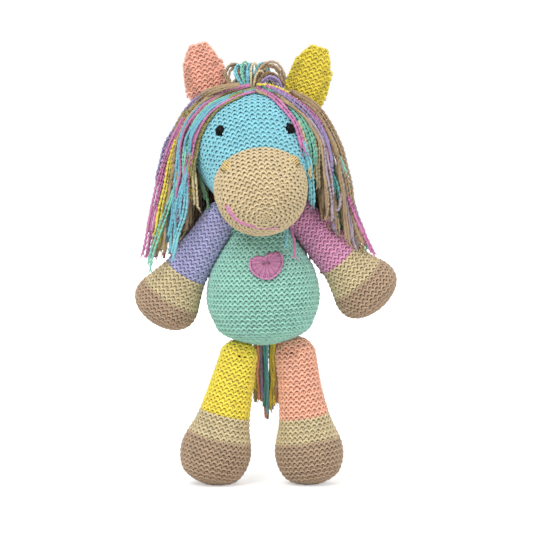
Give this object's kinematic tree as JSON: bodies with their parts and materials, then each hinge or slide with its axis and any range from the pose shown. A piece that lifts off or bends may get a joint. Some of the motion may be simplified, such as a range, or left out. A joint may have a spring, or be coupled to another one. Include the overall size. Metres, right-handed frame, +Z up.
{
  "type": "plush horse",
  "caption": "Crocheted soft toy horse standing upright, with a ball head and long muzzle, arms and legs with round hooves, and a yarn mane and tail.",
  "frame": {"origin": "middle of the bounding box, on the ground under the hooves", "axes": "+Z up; the face looks towards -Y; +X is the right-hand side of a viewer who faces the toy"},
  "size_m": [0.2224, 0.1496, 0.3769],
  "materials": {
    "body_yarn": "mint crocheted yarn",
    "stuffing": "white polyester fibre",
    "heart_yarn": "deep pink crocheted yarn",
    "head_yarn": "light blue crocheted yarn",
    "oat_yarn": "oatmeal crocheted yarn",
    "eye": "glossy black",
    "eye_washer": "matte black",
    "mouth_thread": "pink thread",
    "mane_knots": "mixed loose yarn",
    "mane_crown": "mixed loose yarn in loops",
    "mane_rear": "mixed loose yarn",
    "mane_back": "mixed loose yarn",
    "mane_tail": "mixed loose yarn",
    "peach_yarn": "peach crocheted yarn",
    "mane_front": "mixed loose yarn",
    "mane_side": "mixed loose yarn",
    "lilac_yarn": "lilac crocheted yarn",
    "hoof_yarn": "taupe crocheted yarn",
    "yellow_yarn": "yellow crocheted yarn",
    "pink_yarn": "pink crocheted yarn"
  },
  "bodies": {
    "body": {"body_cover": "body_yarn", "body_stuffing": "stuffing", "heart": "heart_yarn"},
    "neck": {"neck_stuffing": "stuffing"},
    "head": {"head_cover": "head_yarn", "muzzle_cover": "oat_yarn", "head_stuffing": "stuffing", "eye_left": "eye", "eye_right": "eye", "eye_washer_left": "eye_washer", "eye_washer_right": "eye_washer", "nostril_left": "oat_yarn", "nostril_right": "oat_yarn", "mouth_stitch": "mouth_thread", "mane_knots": "mane_knots", "mane_crown_left": "mane_crown", "mane_crown_right": "mane_crown", "mane_left_rear": "mane_rear", "mane_left_back": "mane_back", "mane_right_rear": "mane_rear", "mane_right_back": "mane_back"},
    "tail": {"tail_knot": "body_yarn", "tail_left": "mane_tail", "tail_middle": "mane_tail", "tail_right": "mane_tail"},
    "ear_left": {"ear_left": "peach_yarn"},
    "mane_left": {"mane_left_front": "mane_front", "mane_left_side": "mane_side"},
    "shoulder_left": {"shoulder_seam_left": "body_yarn"},
    "arm_left": {"arm_left_sleeve": "lilac_yarn", "arm_left_cuff": "oat_yarn", "arm_left_hoof": "hoof_yarn", "arm_left_stuffing": "stuffing"},
    "hip_left": {"hip_seam_left": "body_yarn"},
    "leg_left": {"leg_left_upper": "yellow_yarn", "leg_left_cuff": "oat_yarn", "leg_left_hoof": "hoof_yarn", "leg_left_stuffing": "stuffing"},
    "ear_right": {"ear_right": "yellow_yarn"},
    "mane_right": {"mane_right_front": "mane_front", "mane_right_side": "mane_side"},
    "shoulder_right": {"shoulder_seam_right": "body_yarn"},
    "arm_right": {"arm_right_sleeve": "pink_yarn", "arm_right_cuff": "oat_yarn", "arm_right_hoof": "hoof_yarn", "arm_right_stuffing": "stuffing"},
    "hip_right": {"hip_seam_right": "body_yarn"},
    "leg_right": {"leg_right_upper": "peach_yarn", "leg_right_cuff": "oat_yarn", "leg_right_hoof": "hoof_yarn", "leg_right_stuffing": "stuffing"}
  },
  "joints": [
    {"name": "neck_turn", "type": "hinge", "parent": "body", "child": "neck", "pos_m": [-0.00921, 0.00208, 0.28674], "axis": [0, 0, 1], "range_deg": [-20, 20]},
    {"name": "head_nod", "type": "hinge", "parent": "neck", "child": "head", "pos_m": [-0.00921, 0.00208, 0.28674], "axis": [-1, 0, 0], "range_deg": [-5, 20], "deforming": ["mane_left_rear", "mane_left_back", "mane_right_rear", "mane_right_back"]},
    {"name": "ear_left_flop", "type": "hinge", "parent": "head", "child": "ear_left", "pos_m": [-0.04548, 0.00208, 0.32301], "axis": [0.7071, 0, 0.7071], "range_deg": [-25, 15], "stiffness_Nm_per_rad": 0.02},
    {"name": "ear_right_flop", "type": "hinge", "parent": "head", "child": "ear_right", "pos_m": [0.02861, 0.00208, 0.32139], "axis": [0.6756, 0, -0.7373], "range_deg": [-25, 15], "stiffness_Nm_per_rad": 0.02},
    {"name": "mane_left_lift", "type": "hinge", "parent": "head", "child": "mane_left", "pos_m": [-0.01431, 0.00208, 0.34029], "axis": [0, 1, 0], "range_deg": [0, 20]},
    {"name": "mane_right_lift", "type": "hinge", "parent": "head", "child": "mane_right", "pos_m": [-0.00411, 0.00208, 0.34029], "axis": [0, -1, 0], "range_deg": [0, 20]},
    {"name": "shoulder_left_swing", "type": "hinge", "parent": "body", "child": "shoulder_left", "pos_m": [-0.03898, 0.00153, 0.22844], "axis": [-1, 0, 0], "range_deg": [-15, 60]},
    {"name": "arm_left_spread", "type": "hinge", "parent": "shoulder_left", "child": "arm_left", "pos_m": [-0.03898, 0.00153, 0.22844], "axis": [0, 1, 0], "range_deg": [0, 35]},
    {"name": "shoulder_right_swing", "type": "hinge", "parent": "body", "child": "shoulder_right", "pos_m": [0.02909, 0.00415, 0.23106], "axis": [-1, 0, 0], "range_deg": [-15, 60]},
    {"name": "arm_right_spread", "type": "hinge", "parent": "shoulder_right", "child": "arm_right", "pos_m": [0.02909, 0.00415, 0.23106], "axis": [0, -1, 0], "range_deg": [0, 35]},
    {"name": "hip_left_turn", "type": "hinge", "parent": "body", "child": "hip_left", "pos_m": [-0.02403, 0.00918, 0.10811], "axis": [-0.2621, -0.0115, -0.965], "range_deg": [-20, 30]},
    {"name": "leg_left_flex", "type": "hinge", "parent": "hip_left", "child": "leg_left", "pos_m": [-0.02403, 0.00918, 0.10811], "axis": [-1, 0, 0], "range_deg": [-15, 90]},
    {"name": "hip_right_turn", "type": "hinge", "parent": "body", "child": "hip_right", "pos_m": [0.02531, 0.01107, 0.10953], "axis": [0.3519, 0.0121, -0.936], "range_deg": [-20, 30]},
    {"name": "leg_right_flex", "type": "hinge", "parent": "hip_right", "child": "leg_right", "pos_m": [0.02531, 0.01107, 0.10953], "axis": [-1, 0, 0], "range_deg": [-15, 90]},
    {"name": "tail_lift", "type": "hinge", "parent": "body", "child": "tail", "pos_m": [-0.0011, 0.05816, 0.13956], "axis": [1, 0, 0], "range_deg": [0, 50]}
  ]
}
